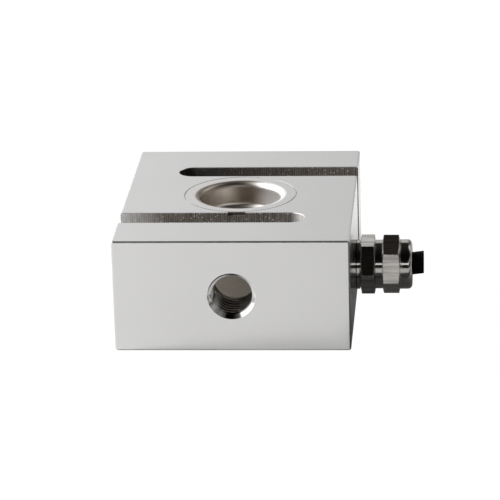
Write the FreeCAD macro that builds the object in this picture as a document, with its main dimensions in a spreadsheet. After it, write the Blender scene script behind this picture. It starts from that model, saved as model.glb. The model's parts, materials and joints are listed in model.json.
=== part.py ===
"""Tension load cell: an S-shaped block with sealed gauge pockets, tapped ends and a cable gland.

The block lies on its large face. The origin is the middle of that face, +X points to the
gland, +Y along the load axis to the far end, +Z up. Lengths are in millimetres.
"""

import FreeCAD, Part
import math
import os
import Sketcher
from FreeCAD import Placement, Rotation, Vector

# Driving dimensions, in millimetres and degrees
SIZES = {
    # block
    "beam_width": 62.0,  # along X, across the load axis
    "beam_length": 78.5,  # along Y, the load axis
    "beam_thickness": 30.3,  # along Z
    "edge_break": 0.4,  # chamfer of the block's outer edges
    "slot_width": 7.9,
    "slot_spacing": 39.8,  # between the centre lines of the two slots
    "slot_end_wall": 12.6,  # block left past the closed end of a slot
    "slot_edge_break": 0.15,
    "slot_overrun": 1.0,  # slot sketch past the block's side
    "thread_radius": 6.0,  # M12, at the thread's crests
    "thread_mouth_depth": 0.35,  # countersink of a tapped hole
    # gauge pockets and their covers
    "pocket_radius": 13.4,
    "web_thickness": 4.6,  # left between the two pockets
    "wire_hole_radius": 1.2,  # joins the pockets
    "wire_hole_side": 9.6,  # from the block's middle, against X
    "wire_hole_front": 4.6,  # from the block's middle, against Y
    "cover_flange_radius": 15.17,
    "cover_sheet": 0.5,
    "cover_wall_radius": 10.8,  # inside the cup
    "cover_depth": 7.2,
    "cover_lip_round": 1.6,
    "cover_floor_round": 1.5,
    "cover_edge_break": 0.12,  # chamfer of the flange's upper rim
    "cover_sink": 0.05,  # flange below the block's face
    "seat_clearance": 0.08,  # round the flange
    "seat_notch_width": 4.6,  # pry notch between seat and front slot
    "seat_notch_depth": 0.9,
    "seat_notch_wall": 1.6,  # block left between notch and pocket
    # cable port
    "gland_offset": 14.1,  # gland axis in front of the block's middle
    "port_radius": 6.0,
    "port_depth": 10.5,
    "passage_radius": 1.4,
    "passage_rise": 3.75,  # passage axis above the gland axis
    "passage_shift": 2.6,  # passage axis behind the gland axis
    # gland
    "thread_clearance": 0.05,
    "washer_thickness": 0.8,
    "washer_radius": 6.6,
    "collar_radius": 6.65,
    "collar_length": 0.9,
    "relief_length": 0.12,  # step between washer and collar
    "groove_radius": 6.3,  # of that step and of the groove before the hexagon
    "groove_length": 0.3,
    "hex_width": 13.8,  # across the flats, for a 14 mm spanner
    "hex_chamfer": 0.2,  # axial height of the turned corners
    "body_hex_length": 3.8,
    "body_hex_turn": 35.2,
    "body_thread_length": 6.0,
    "body_bore_radius": 3.3,
    "body_shoulder": 1.55,  # seat floor, short of the hexagon's outer end
    "neck_radius": 5.5,
    "neck_length": 5.65,
    "neck_clearance": 0.1,
    "nut_gap": 0.1,
    "skirt_radius": 6.55,
    "skirt_length": 1.95,
    "nut_hex_length": 4.45,
    "nut_hex_turn": 52.1,
    "dome_radius": 6.65,
    "dome_length": 3.35,
    "dome_round": 1.2,
    "nut_cone_radius": 4.9,
    "mouth_radius": 3.4,
    "mouth_length": 1.35,
    "claw_wall": 0.55,
    "claw_clearance": 0.05,
    "claw_slot_width": 0.8,
    "claw_slot_length": 5.6,
    "claw_tip_gap": 0.2,  # round the nut's mouth
    "claw_tip_width": 0.1,
    # cable
    "cable_radius": 3.0,
    "cable_stub": 3.05,  # past the gland
    "cable_overrun": 1.0,  # swept past the stub's end and cut off square
    "cable_lift": 7.0,  # upward bend of the stub
    "cable_bend_radius": 12.0,
    "cable_entry": 3.0,  # sheath inside the block
    "jacket_wall": 1.2,
    "braid_wall": 0.28,
    "slip": 0.02,  # between layers of the cable
    "core_radius": 0.55,
    "conductor_radius": 0.28,
    "core_bend_radius": 2.2,
    "core_turn_radius": 0.85,  # where a core turns to its pad
    "core_strip_gap": 0.08,  # between a core's skin and the terminal strip
    # gauges and wiring
    "film_length": 10.0,
    "film_width": 7.6,
    "film_thickness": 0.12,
    "foil_thickness": 0.05,
    "grid_length": 2.6,
    "grid_pitch": 0.46,
    "grid_strip": 0.24,
    "grid_spread": 2.4,  # grid centre from the gauge's middle
    "grid_shift": 0.9,
    "tab_length": 1.2,
    "tab_width": 1.4,
    "tab_front": 2.7,  # tab centre in front of the gauge's middle
    "strip_length": 14.8,
    "strip_width": 4.2,
    "strip_thickness": 0.3,
    "strip_front": 7.5,  # strip centre in front of the block's middle
    "pad_margin": 0.05,  # between an end pad and the strip's end
    "pad_length": 3.4,
    "pad_width": 1.5,
    "pad_thickness": 0.06,
    "joint_radius": 0.7,
    "joint_height": 0.45,
    "resistor_length": 3.2,
    "resistor_width": 1.6,
    "resistor_thickness": 0.6,
    "resistor_pitch": 5.0,
    "resistor_back": 8.0,  # behind the block's middle
    "wire_radius": 0.12,
    "wire_hop": 0.9,  # height of a gauge wire over its pad
    "wire_lane": 0.45,  # between the bottom gauge's wires
}
GRID_LINES = 6
PAD_PLACES = (-3, -2, -1, 0, 1, 2, 3)
TOP_WIRE_PADS = (-1, 0, 1)
BOTTOM_WIRE_PADS = (-3, -2, 2)
CLAW_SLOT_PAIRS = 3
HEX_SIDES = 6
SMALL_TURN = math.radians(1.0)
SMOOTH, MITRED = 0, 1  # how a swept rod passes the joints of its path

doc = FreeCAD.newDocument("tension_load_cell")
sheet = doc.addObject("Spreadsheet::Sheet", "sizes")
for row, (name, number) in enumerate(SIZES.items(), start=1):
    sheet.set(f"A{row}", name)
    sheet.set(f"B{row}", str(number))
    sheet.setAlias(f"B{row}", name)
doc.recompute()


class Measure:
    """A size known both as a number and as an expression on the sheet."""

    def __init__(self, value, text):
        self.value = float(value)
        self.text = text

    def combine(self, other, sign, result):
        return Measure(result, f"({self.text} {sign} {measure(other).text})")

    def __add__(self, other):
        return self.combine(other, "+", self.value + measure(other).value)

    def __sub__(self, other):
        return self.combine(other, "-", self.value - measure(other).value)

    def __mul__(self, other):
        return self.combine(other, "*", self.value * measure(other).value)

    def __truediv__(self, other):
        return self.combine(other, "/", self.value / measure(other).value)

    def __neg__(self):
        return Measure(-self.value, f"(0 - {self.text})")


def measure(number):
    """A plain number as a Measure, and a Measure as it is."""
    if isinstance(number, Measure):
        return number
    return Measure(number, repr(float(number)))


class Sizes:
    """The sheet's cells as Measures, by name."""

    def __getattr__(self, name):
        return Measure(getattr(sheet, name), f"sizes.{name}")


size = Sizes()


# Helpers that bind sketches and features to the sheet


def bind(obj, **properties):
    """Bind properties such as Length; two underscores stand for a dot."""
    for name, value in properties.items():
        obj.setExpression(name.replace("__", "."), measure(value).text)


def place(obj, x=0, y=0, z=0):
    """Bind a sub-part's place in the block's frame."""
    bind(obj, Placement__Base__x=x, Placement__Base__y=y, Placement__Base__z=z)


def new_body(label):
    body = doc.addObject("PartDesign::Body", label)
    body.Label = label
    return body


def new_sketch(body, name, role, offset=0, turn=None):
    """A sketch on one of the body's own origin planes, moved along its normal."""
    sketch = body.newObject("Sketcher::SketchObject", name)
    plane = next(f for f in body.Origin.OriginFeatures if f.Role == role)
    sketch.AttachmentSupport = [(plane, "")]
    sketch.MapMode = "FlatFace"
    bind(sketch, AttachmentOffset__Base__z=offset)
    if turn is not None:
        bind(sketch, AttachmentOffset__Rotation__Angle=turn)
    return sketch


def hold(sketch, kind, *args, value):
    """Add a dimension and bind it."""
    index = sketch.addConstraint(Sketcher.Constraint(kind, *args, measure(value).value))
    sketch.setExpression(f"Constraints[{index}]", measure(value).text)


def hold_point(sketch, geometry, point, x, y):
    hold(sketch, "DistanceX", -1, 1, geometry, point, value=x)
    hold(sketch, "DistanceY", -1, 1, geometry, point, value=y)


def draw_polygon(sketch, corners):
    """A closed outline of straight lines with every corner dimensioned."""
    corners = [(measure(x), measure(y)) for x, y in corners]
    count = len(corners)
    first = sketch.GeometryCount
    for i in range(count):
        a, b = corners[i], corners[(i + 1) % count]
        start, end = Vector(a[0].value, a[1].value, 0), Vector(b[0].value, b[1].value, 0)
        sketch.addGeometry(Part.LineSegment(start, end))
    for i in range(count):
        joined = Sketcher.Constraint("Coincident", first + i, 2, first + (i + 1) % count, 1)
        sketch.addConstraint(joined)
    for i, (x, y) in enumerate(corners):
        hold_point(sketch, first + i, 1, x, y)


def draw_rectangle(sketch, x0, y0, x1, y1):
    draw_polygon(sketch, [(x0, y0), (x1, y0), (x1, y1), (x0, y1)])


def draw_circle(sketch, radius, x=0, y=0):
    centre = Vector(measure(x).value, measure(y).value, 0)
    circle = sketch.addGeometry(Part.Circle(centre, Vector(0, 0, 1), measure(radius).value))
    hold(sketch, "Radius", circle, value=radius)
    hold_point(sketch, circle, 3, x, y)


def draw_open_slot(sketch, open_x, end_x, y, width):
    """A slot from open_x to a half-round end whose tip is at end_x."""
    toward = 1 if end_x.value > open_x.value else -1
    half = width / 2
    centre_x = end_x - half * toward
    low, high = y - half, y + half
    top = (Vector(open_x.value, high.value, 0), Vector(centre_x.value, high.value, 0))
    bottom = (Vector(open_x.value, low.value, 0), Vector(centre_x.value, low.value, 0))
    tip = Vector(end_x.value, y.value, 0)
    upper = sketch.addGeometry(Part.LineSegment(*top))
    lower = sketch.addGeometry(Part.LineSegment(*bottom))
    mouth = sketch.addGeometry(Part.LineSegment(bottom[0], top[0]))
    ends = (bottom[1], top[1]) if toward > 0 else (top[1], bottom[1])
    arc = sketch.addGeometry(Part.Arc(ends[0], tip, ends[1]))
    lower_end, upper_end = (1, 2) if toward > 0 else (2, 1)
    sketch.addConstraint(Sketcher.Constraint("Coincident", mouth, 1, lower, 1))
    sketch.addConstraint(Sketcher.Constraint("Coincident", mouth, 2, upper, 1))
    sketch.addConstraint(Sketcher.Constraint("Coincident", lower, 2, arc, lower_end))
    sketch.addConstraint(Sketcher.Constraint("Coincident", upper, 2, arc, upper_end))
    hold_point(sketch, arc, 3, centre_x, y)
    hold_point(sketch, lower, 1, open_x, low)
    hold_point(sketch, upper, 1, open_x, high)
    hold_point(sketch, lower, 2, centre_x, low)
    hold(sketch, "DistanceX", -1, 1, upper, 2, value=centre_x)


def pad(body, sketch, length):
    feature = body.newObject("PartDesign::Pad", sketch.Name + "_pad")
    feature.Profile = sketch
    bind(feature, Length=length)
    doc.recompute()
    return feature


def cut(body, sketch, length=None, forward=False, middle=False):
    """Pocket against the sketch's normal, or along it; through all with no length."""
    before = body.Shape.Volume
    feature = body.newObject("PartDesign::Pocket", sketch.Name + "_cut")
    feature.Profile = sketch
    feature.Reversed = forward
    feature.Midplane = middle
    if length is None:
        feature.Type = "ThroughAll"
    else:
        bind(feature, Length=length)
    doc.recompute()
    if not body.Shape.Volume < before:
        raise RuntimeError(f"{feature.Name} takes nothing away")
    return feature


def turn_profile(body, name, corners, kind="PartDesign::Revolution"):
    """Turn an outline of (radius, height) corners about the body's Z axis."""
    before = 0 if kind == "PartDesign::Revolution" else body.Shape.Volume
    sketch = new_sketch(body, name, "XZ_Plane")
    draw_polygon(sketch, corners)
    feature = body.newObject(kind, name + "_turned")
    feature.Profile = sketch
    feature.ReferenceAxis = (sketch, ["V_Axis"])
    feature.Angle = 360
    doc.recompute()
    if kind == "PartDesign::Groove" and not body.Shape.Volume < before:
        raise RuntimeError(f"{feature.Name} takes nothing away")
    return feature


def dress(body, kind, name, base, edges, amount):
    """Chamfer or fillet the base's chosen edges."""
    if not edges:
        raise RuntimeError(f"{name} finds no edge")
    feature = body.newObject(kind, name)
    feature.Base = (base, edges)
    if kind == "PartDesign::Chamfer":
        bind(feature, Size=amount)
    else:
        bind(feature, Radius=amount)
    doc.recompute()
    return feature


def edges_where(feature, test):
    found = enumerate(feature.Shape.Edges, start=1)
    return [f"Edge{i}" for i, edge in found if test(edge)]


def near(a, b):
    return abs(a - measure(b).value) < 1e-4


def ring_edges(feature, radius, height):
    """Full circles about Z of one radius at one height."""

    def matches(edge):
        round_edge = isinstance(edge.Curve, Part.Circle)
        return round_edge and near(edge.Curve.Radius, radius) and near(edge.Curve.Center.z, height)

    return edges_where(feature, matches)


# Places that several pieces share

half_width = size.beam_width / 2
half_length = size.beam_length / 2
middle_height = size.beam_thickness / 2
slot_line = size.slot_spacing / 2
slot_tip = half_width - size.slot_end_wall
seat_radius = size.cover_flange_radius + size.seat_clearance
seat_depth = size.cover_sheet + size.cover_sink
web_top = middle_height + size.web_thickness / 2
web_bottom = middle_height - size.web_thickness / 2
gland_y = -size.gland_offset
passage_y = gland_y + size.passage_shift
passage_z = middle_height + size.passage_rise
pad_top = web_top + size.strip_thickness + size.pad_thickness
end_pad_x = size.strip_length / 2 - size.pad_margin - size.pad_width / 2
pad_pitch = end_pad_x / max(PAD_PLACES)

# Gland heights, from the block's side face outwards
collar_start = size.washer_thickness
groove_start = collar_start + size.collar_length
body_hex_start = groove_start + size.groove_length
body_hex_end = body_hex_start + size.body_hex_length
neck_end = body_hex_end + size.neck_length
skirt_start = body_hex_end + size.nut_gap
nut_hex_start = skirt_start + size.skirt_length
nut_hex_end = nut_hex_start + size.nut_hex_length
dome_end = nut_hex_end + size.dome_length
stub_end = half_width + dome_end + size.cable_stub
nut_bore_end = neck_end + size.neck_clearance
cone_end = dome_end - size.mouth_length
seat_floor = body_hex_end - size.body_shoulder
claw_radius = size.neck_radius - size.claw_wall - size.claw_clearance - size.claw_clearance


# The block


def make_beam():
    body = new_body("s_beam")
    outline = new_sketch(body, "block_outline", "XY_Plane")
    draw_rectangle(outline, -half_width, -half_length, half_width, half_length)
    block = pad(body, outline, size.beam_thickness)
    every_edge = edges_where(block, lambda edge: True)
    dress(body, "PartDesign::Chamfer", "block_edges", block, every_edge, size.edge_break)

    slots = new_sketch(body, "slots", "XY_Plane")
    slot_start = half_width + size.slot_overrun
    draw_open_slot(slots, -slot_start, slot_tip, -slot_line, size.slot_width)
    draw_open_slot(slots, slot_start, -slot_tip, slot_line, size.slot_width)
    slotted = cut(body, slots, forward=True)
    rims = edges_where(slotted, is_slot_rim)
    dress(body, "PartDesign::Chamfer", "slot_edges", slotted, rims, size.slot_edge_break)

    pocket_depth = (size.beam_thickness - size.web_thickness) / 2
    for side, height, forward in (("top", size.beam_thickness, False), ("bottom", 0, True)):
        pocket = new_sketch(body, side + "_pocket", "XY_Plane", height)
        draw_circle(pocket, size.pocket_radius)
        cut(body, pocket, pocket_depth, forward)
        seat = new_sketch(body, side + "_seat", "XY_Plane", height)
        draw_circle(seat, seat_radius)
        cut(body, seat, seat_depth, forward)
    notch = new_sketch(body, "seat_notch", "XY_Plane", size.beam_thickness)
    half_notch = size.seat_notch_width / 2
    notch_back = -size.pocket_radius - size.seat_notch_wall
    draw_rectangle(notch, -half_notch, -slot_line, half_notch, notch_back)
    cut(body, notch, size.seat_notch_depth)

    wire_hole = new_sketch(body, "wire_hole", "XY_Plane")
    draw_circle(wire_hole, size.wire_hole_radius, -size.wire_hole_side, -size.wire_hole_front)
    cut(body, wire_hole, forward=True)

    port = new_sketch(body, "cable_port", "YZ_Plane", half_width)
    draw_circle(port, size.port_radius, gland_y, middle_height)
    cut(body, port, size.port_depth)
    passage = new_sketch(body, "cable_passage", "YZ_Plane")
    draw_circle(passage, size.passage_radius, passage_y, passage_z)
    cut(body, passage, half_width - size.port_depth / 2, forward=True)

    # each tapped hole ends in the middle of its slot
    for end, offset, forward in (("front", half_length, False), ("back", -half_length, True)):
        hole = new_sketch(body, end + "_thread", "XZ_Plane", offset)
        draw_circle(hole, size.thread_radius, 0, middle_height)
        tapped = cut(body, hole, half_length - slot_line, forward)
    mouths = edges_where(tapped, is_thread_mouth)
    dress(body, "PartDesign::Chamfer", "thread_mouths", tapped, mouths, size.thread_mouth_depth)
    return body


def is_slot_rim(edge):
    """Edges of the slots on the block's two large faces."""
    middle = edge.BoundBox.Center
    flat = edge.BoundBox.ZLength < 1e-6
    on_face = near(middle.z, 0) or near(middle.z, size.beam_thickness)
    if not (flat and on_face):
        return False
    if isinstance(edge.Curve, Part.Circle):
        return near(edge.Curve.Radius, size.slot_width / 2)
    from_line = abs(abs(middle.y) - slot_line.value)
    return edge.BoundBox.YLength < 1e-6 and near(from_line, size.slot_width / 2)


def is_thread_mouth(edge):
    if not isinstance(edge.Curve, Part.Circle):
        return False
    at_end = near(abs(edge.Curve.Center.y), half_length)
    return at_end and near(edge.Curve.Radius, size.thread_radius)


# The two pressed covers


def make_cover(label, height, flipped):
    """A flanged cup, its flange's upper face at height; flipped for the lower side."""
    body = new_body(label)
    wall_outside = size.cover_wall_radius + size.cover_sheet
    floor_outside = -size.cover_depth - size.cover_sheet
    corners = [
        (0, -size.cover_depth),
        (size.cover_wall_radius, -size.cover_depth),
        (size.cover_wall_radius, 0),
        (size.cover_flange_radius, 0),
        (size.cover_flange_radius, -size.cover_sheet),
        (wall_outside, -size.cover_sheet),
        (wall_outside, floor_outside),
        (0, floor_outside),
    ]
    feature = turn_profile(body, label + "_section", corners)
    rim = ring_edges(feature, size.cover_flange_radius, 0)
    feature = dress(body, "PartDesign::Chamfer", label + "_rim", feature, rim, size.cover_edge_break)
    rounds = (
        ("lip", size.cover_wall_radius, 0, size.cover_lip_round),
        ("lip_back", wall_outside, -size.cover_sheet, size.cover_lip_round - size.cover_sheet),
        ("floor", size.cover_wall_radius, -size.cover_depth, size.cover_floor_round),
        ("floor_back", wall_outside, floor_outside, size.cover_floor_round + size.cover_sheet),
    )
    for name, radius, level, amount in rounds:
        ring = ring_edges(feature, radius, level)
        feature = dress(body, "PartDesign::Fillet", f"{label}_{name}", feature, ring, amount)
    if flipped:
        body.Placement = Placement(Vector(), Rotation(Vector(1, 0, 0), 180))
    place(body, z=height)
    return body


# The gland, turned about its own axis and set on the block's side face


def seat_on_side(body):
    """Stand a piece that was turned about Z on the side face, on the gland axis."""
    body.Placement = Placement(Vector(), Rotation(Vector(0, 1, 0), 90))
    place(body, half_width, gland_y, middle_height)
    return body


def add_hexagon(body, name, start, length, turn):
    """A hexagon across the flats with turned corners at both ends."""
    sketch = new_sketch(body, name, "XY_Plane", start, turn)
    corner = size.hex_width / math.sqrt(3.0)
    angles = [2 * math.pi * i / HEX_SIDES for i in range(HEX_SIDES)]
    draw_polygon(sketch, [(corner * math.cos(a), corner * math.sin(a)) for a in angles])
    pad(body, sketch, length)
    flat = size.hex_width / 2
    outside = corner + size.hex_chamfer
    # the turned cone leaves the flats at the end face and passes outside the corners
    run = size.hex_chamfer * (outside - flat) / (corner - flat)
    for end, level, inward in (("start", start, 1), ("end", start + length, -1)):
        corners = [(flat, level), (outside, level), (outside, level + run * inward)]
        turn_profile(body, f"{name}_{end}", corners, "PartDesign::Groove")


def make_washer():
    inner = size.port_radius + size.thread_clearance
    corners = [
        (inner, 0),
        (size.washer_radius, 0),
        (size.washer_radius, size.washer_thickness),
        (inner, size.washer_thickness),
    ]
    body = new_body("gland_washer")
    turn_profile(body, "washer_section", corners)
    return seat_on_side(body)


def make_gland_body():
    body = new_body("gland_body")
    thread = size.port_radius - size.thread_clearance
    corners = [
        (size.body_bore_radius, -size.body_thread_length),
        (thread, -size.body_thread_length),
        (thread, collar_start),
        (size.groove_radius, collar_start),
        (size.groove_radius, collar_start + size.relief_length),
        (size.collar_radius, collar_start + size.relief_length),
        (size.collar_radius, groove_start),
        (size.groove_radius, groove_start),
        (size.groove_radius, body_hex_end),
        (size.neck_radius, body_hex_end),
        (size.neck_radius, neck_end),
        (size.body_bore_radius, neck_end),
    ]
    turn_profile(body, "gland_body_section", corners)
    add_hexagon(body, "body_hexagon", body_hex_start, size.body_hex_length, size.body_hex_turn)
    bore = new_sketch(body, "body_bore", "XY_Plane", neck_end)
    draw_circle(bore, size.body_bore_radius)
    cut(body, bore)
    seat = new_sketch(body, "seal_seat", "XY_Plane", neck_end)
    draw_circle(seat, claw_radius + size.claw_clearance)
    cut(body, seat, neck_end - seat_floor)
    return seat_on_side(body)


def make_dome_nut():
    body = new_body("gland_dome_nut")
    core = size.mouth_radius
    corners = [
        (core, skirt_start),
        (size.skirt_radius, skirt_start),
        (size.skirt_radius, nut_hex_end),
        (size.dome_radius, nut_hex_end),
        (size.dome_radius, dome_end),
        (core, dome_end),
    ]
    turned = turn_profile(body, "dome_nut_section", corners)
    rim = ring_edges(turned, size.dome_radius, dome_end)
    dress(body, "PartDesign::Fillet", "dome_rim", turned, rim, size.dome_round)
    add_hexagon(body, "nut_hexagon", nut_hex_start, size.nut_hex_length, size.nut_hex_turn)
    thread = size.neck_radius + size.neck_clearance
    inside = [
        (0, skirt_start),
        (thread, skirt_start),
        (thread, nut_bore_end),
        (size.nut_cone_radius, nut_bore_end),
        (core, cone_end),
        (core, dome_end),
        (0, dome_end),
    ]
    turn_profile(body, "nut_inside", inside, "PartDesign::Groove")
    return seat_on_side(body)


def cone_height(radius):
    """Where the nut's inner cone has this radius."""
    drop = (size.nut_cone_radius - radius) / (size.nut_cone_radius - size.mouth_radius)
    return nut_bore_end + (cone_end - nut_bore_end) * drop


def make_claw():
    """A slotted cage whose bevelled tips lie in the nut's cone."""
    body = new_body("gland_claw")
    inner = claw_radius - size.claw_wall
    shoulder = cone_height(claw_radius) - size.claw_clearance
    tip_radius = size.mouth_radius + size.claw_tip_gap
    tip = cone_height(tip_radius) - size.claw_clearance
    corners = [
        (inner, seat_floor),
        (claw_radius, seat_floor),
        (claw_radius, shoulder),
        (tip_radius, tip),
        (tip_radius - size.claw_tip_width, tip),
        (inner, shoulder),
    ]
    turn_profile(body, "claw_section", corners)
    slot = new_sketch(body, "claw_slot", "XZ_Plane")
    half = size.claw_slot_width / 2
    draw_rectangle(slot, -half, dome_end - size.claw_slot_length, half, dome_end)
    first = cut(body, slot, middle=True)
    ring = body.newObject("PartDesign::PolarPattern", "claw_slots")
    ring.Originals = [first]
    ring.Axis = (slot, ["V_Axis"])
    ring.Angle = 360
    ring.Occurrences = CLAW_SLOT_PAIRS
    body.Tip = ring
    return seat_on_side(body)


def make_seal():
    outer = claw_radius - size.claw_wall - size.claw_clearance
    corners = [
        (size.cable_radius, seat_floor),
        (outer, seat_floor),
        (outer, neck_end),
        (size.cable_radius, neck_end),
    ]
    body = new_body("gland_seal")
    turn_profile(body, "seal_section", corners)
    return seat_on_side(body)


# Cable and cores, swept along straight runs joined by arcs


def rounded_path(points, radii):
    """A wire through points with an arc of its own radius at each inner point."""
    edges = []
    start = points[0]
    for before, corner, after, radius in zip(points, points[1:], points[2:], radii):
        into = (before - corner).normalize()
        out = (after - corner).normalize()
        turned = math.pi - into.getAngle(out)
        if turned < SMALL_TURN:
            continue
        reach = radius * math.tan(turned / 2)
        middle = (into + out).normalize()
        arc_start = corner + into * reach
        arc_end = corner + out * reach
        arc_middle = corner + middle * (radius / math.cos(turned / 2) - radius)
        edges.append(Part.LineSegment(start, arc_start).toShape())
        edges.append(Part.Arc(arc_start, arc_middle, arc_end).toShape())
        start = arc_end
    edges.append(Part.LineSegment(start, points[-1]).toShape())
    return Part.Wire(edges)


def sweep(path, radius, joints=SMOOTH):
    """A solid round rod along a path."""
    first = path.OrderedEdges[0]
    start = first.valueAt(first.FirstParameter)
    heading = first.tangentAt(first.FirstParameter)
    ring = Part.Wire([Part.makeCircle(radius, start, heading)])
    return path.makePipeShell([ring], True, False, joints)


def add_solid(label, shape):
    feature = doc.addObject("Part::Feature", label)
    feature.Label = label
    feature.Shape = shape
    return feature


def cable_points(inner_end):
    """The cable's centre line, from past its cut end to a place inside the block."""
    lift = math.tan(math.radians(size.cable_lift.value))
    axis_y, axis_z = gland_y.value, middle_height.value
    bend_x = (half_width + cone_end).value
    end_x = (stub_end + size.cable_overrun).value
    return [
        Vector(end_x, axis_y, axis_z + lift * (end_x - bend_x)),
        Vector(bend_x, axis_y, axis_z),
        Vector(inner_end, axis_y, axis_z),
    ]


def cut_square(shape):
    """Take off what passes the stub's end, square to the gland axis."""
    span = 4 * size.cable_radius.value
    corner = Vector(stub_end.value, gland_y.value - span / 2, middle_height.value - span / 2)
    return shape.cut(Part.makeBox(span, span, span, corner))


def make_cable():
    """Sheath and braid, two tubes on one line."""
    jacket = size.cable_radius.value
    lining = (size.cable_radius - size.jacket_wall).value
    braid = lining - size.slip.value
    hollow = braid - size.braid_wall.value
    inner_end = (half_width - size.cable_entry).value
    path = rounded_path(cable_points(inner_end), [size.cable_bend_radius.value])
    add_solid("cable_jacket", cut_square(sweep(path, jacket).cut(sweep(path, lining))))
    add_solid("cable_braid", cut_square(sweep(path, braid).cut(sweep(path, hollow))))


def core_routes():
    """For each core: its colour, its run to the strip, and its bare run onto the pad."""
    cable = cable_points((half_width - size.cable_entry).value)
    rise = Vector(0, size.passage_shift.value, size.passage_rise.value)
    lateral = rise.Length
    up = Vector(rise).normalize()
    across = Vector(0, up.z, -up.y)
    # the bundle leaves the gland axis and joins the passage at half a right angle
    slope = math.radians(45.0)
    bend = size.core_bend_radius.value
    reach = bend * math.tan(slope / 2)
    bundle = (size.core_radius + size.slip).value
    mouth_x = (half_width - size.port_depth).value + reach + bundle
    passage = Vector(mouth_x, passage_y.value, passage_z.value)
    leave = Vector(mouth_x + lateral / math.tan(slope), gland_y.value, middle_height.value)
    strip_edge = -(size.strip_front + size.strip_width / 2).value
    skin_end = strip_edge - size.core_strip_gap.value
    pad_z = pad_top.value + size.conductor_radius.value + size.slip.value
    tip_y = -(size.strip_front - size.pad_length / 8).value
    land_y = strip_edge + size.pad_length.value / 3
    lanes = (
        ("red_core", 1, 1, 2),
        ("black_core", -1, 1, 1),
        ("green_core", 1, -1, 0),
        ("white_core", -1, -1, -1),
    )
    for label, side, edge, pad_place in lanes:
        inward = bundle * side
        shift = up * inward + across * (bundle * edge)
        mitre = Vector(inward * math.tan(slope / 2), 0, 0)
        x = pad_place * pad_pitch.value
        turn = Vector(x, passage.y + shift.y, passage.z + shift.z)
        route = [
            cable[0] + shift,
            cable[1] + shift,
            leave + shift + mitre,
            passage + shift + mitre,
            turn,
        ]
        skin = route + [Vector(x, skin_end, turn.z)]
        bare = route + [
            Vector(x, skin_end + size.conductor_radius.value, turn.z),
            Vector(x, land_y, pad_z),
            Vector(x, tip_y, pad_z),
        ]
        radii = [size.cable_bend_radius.value, bend, bend, size.core_turn_radius.value]
        small = size.conductor_radius.value + size.slip.value
        yield label, rounded_path(skin, radii), rounded_path(bare, radii + [small, small]), x


def make_cores():
    """Insulated cores with their conductors, and the solder on their pads."""
    conductors = []
    joints = []
    joint_y = -size.strip_front.value
    for label, skin, bare, x in core_routes():
        hole = sweep(skin, (size.conductor_radius + size.slip).value)
        add_solid(label, cut_square(sweep(skin, size.core_radius.value).cut(hole)))
        conductors.append(cut_square(sweep(bare, size.conductor_radius.value)))
        foot = Vector(x, joint_y, pad_top.value)
        joints.append(Part.makeCylinder(size.joint_radius.value, size.joint_height.value, foot))
    copper = Part.makeCompound(conductors)
    add_solid("core_conductors", copper)
    add_solid("solder_joints", Part.makeCompound([joint.cut(copper) for joint in joints]))


# Gauges, terminal strip and fine wires inside the pockets


def new_plate(label, length, width, height, x, y, z):
    """A thin rectangular plate centred on x and y, standing on z."""
    plate = doc.addObject("Part::Box", label)
    plate.Label = label
    bind(plate, Length=length, Width=width, Height=height)
    place(plate, x - length / 2, y - width / 2, z)
    return plate


def meander_outline(length, pitch, strip, lines):
    """Outline of a folded strip of parallel lines, centred on the origin."""
    half = strip / 2
    middle = []
    for line in range(lines):
        y = (line - (lines - 1) / 2) * pitch
        ends = (-length / 2, length / 2) if line % 2 == 0 else (length / 2, -length / 2)
        middle += [Vector(x, y, 0) for x in ends]
    runs = [(b - a).normalize() for a, b in zip(middle, middle[1:])]
    normals = [Vector(-run.y, run.x, 0) for run in runs]
    corners = [normals[0]] + [a + b for a, b in zip(normals, normals[1:])] + [normals[-1]]
    left = [point + corner * half for point, corner in zip(middle, corners)]
    right = [point - corner * half for point, corner in zip(middle, corners)]
    return left + right[::-1] + left[:1]


def make_gauge(side, face, outward):
    """A film with two measuring grids at half a right angle and three solder tabs."""
    film_foot = face if outward > 0 else face - size.film_thickness
    film = (size.film_length, size.film_width, size.film_thickness)
    new_plate(f"{side}_gauge_film", *film, measure(0), measure(0), film_foot)
    depth = size.foil_thickness.value
    level = (face + size.film_thickness * outward).value
    outline = meander_outline(
        size.grid_length.value, size.grid_pitch.value, size.grid_strip.value, GRID_LINES
    )
    grid = Part.Face(Part.makePolygon(outline)).extrude(Vector(0, 0, depth * outward))
    solids = []
    for hand in (-1, 1):
        turned = grid.copy()
        middle = Vector(size.grid_spread.value * hand, size.grid_shift.value, level)
        turned.Placement = Placement(middle, Rotation(Vector(0, 0, 1), 45 * hand))
        solids.append(turned)
    for pad_place in TOP_WIRE_PADS:
        length, width = size.tab_length.value, size.tab_width.value
        x = pad_place * pad_pitch.value - width / 2
        y = -size.tab_front.value - length / 2
        z = level if outward > 0 else level - depth
        solids.append(Part.makeBox(width, length, depth, Vector(x, y, z)))
    add_solid(f"{side}_gauge_foil", Part.makeCompound(solids))


def make_terminal_strip():
    y = -size.strip_front
    strip = (size.strip_length, size.strip_width, size.strip_thickness)
    new_plate("terminal_strip", *strip, measure(0), y, web_top)
    length, width = size.pad_length.value, size.pad_width.value
    foot = web_top.value + size.strip_thickness.value
    pads = []
    for pad_place in PAD_PLACES:
        corner = Vector(pad_place * pad_pitch.value - width / 2, y.value - length / 2, foot)
        pads.append(Part.makeBox(width, length, size.pad_thickness.value, corner))
    add_solid("terminal_pads", Part.makeCompound(pads))
    chips = []
    for hand in (-1, 1):
        corner = Vector(
            hand * size.resistor_pitch.value / 2 - size.resistor_length.value / 2,
            size.resistor_back.value - size.resistor_width.value / 2,
            web_top.value,
        )
        chip = (size.resistor_length.value, size.resistor_width.value, size.resistor_thickness.value)
        chips.append(Part.makeBox(*chip, corner))
    add_solid("span_resistors", Part.makeCompound(chips))


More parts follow.
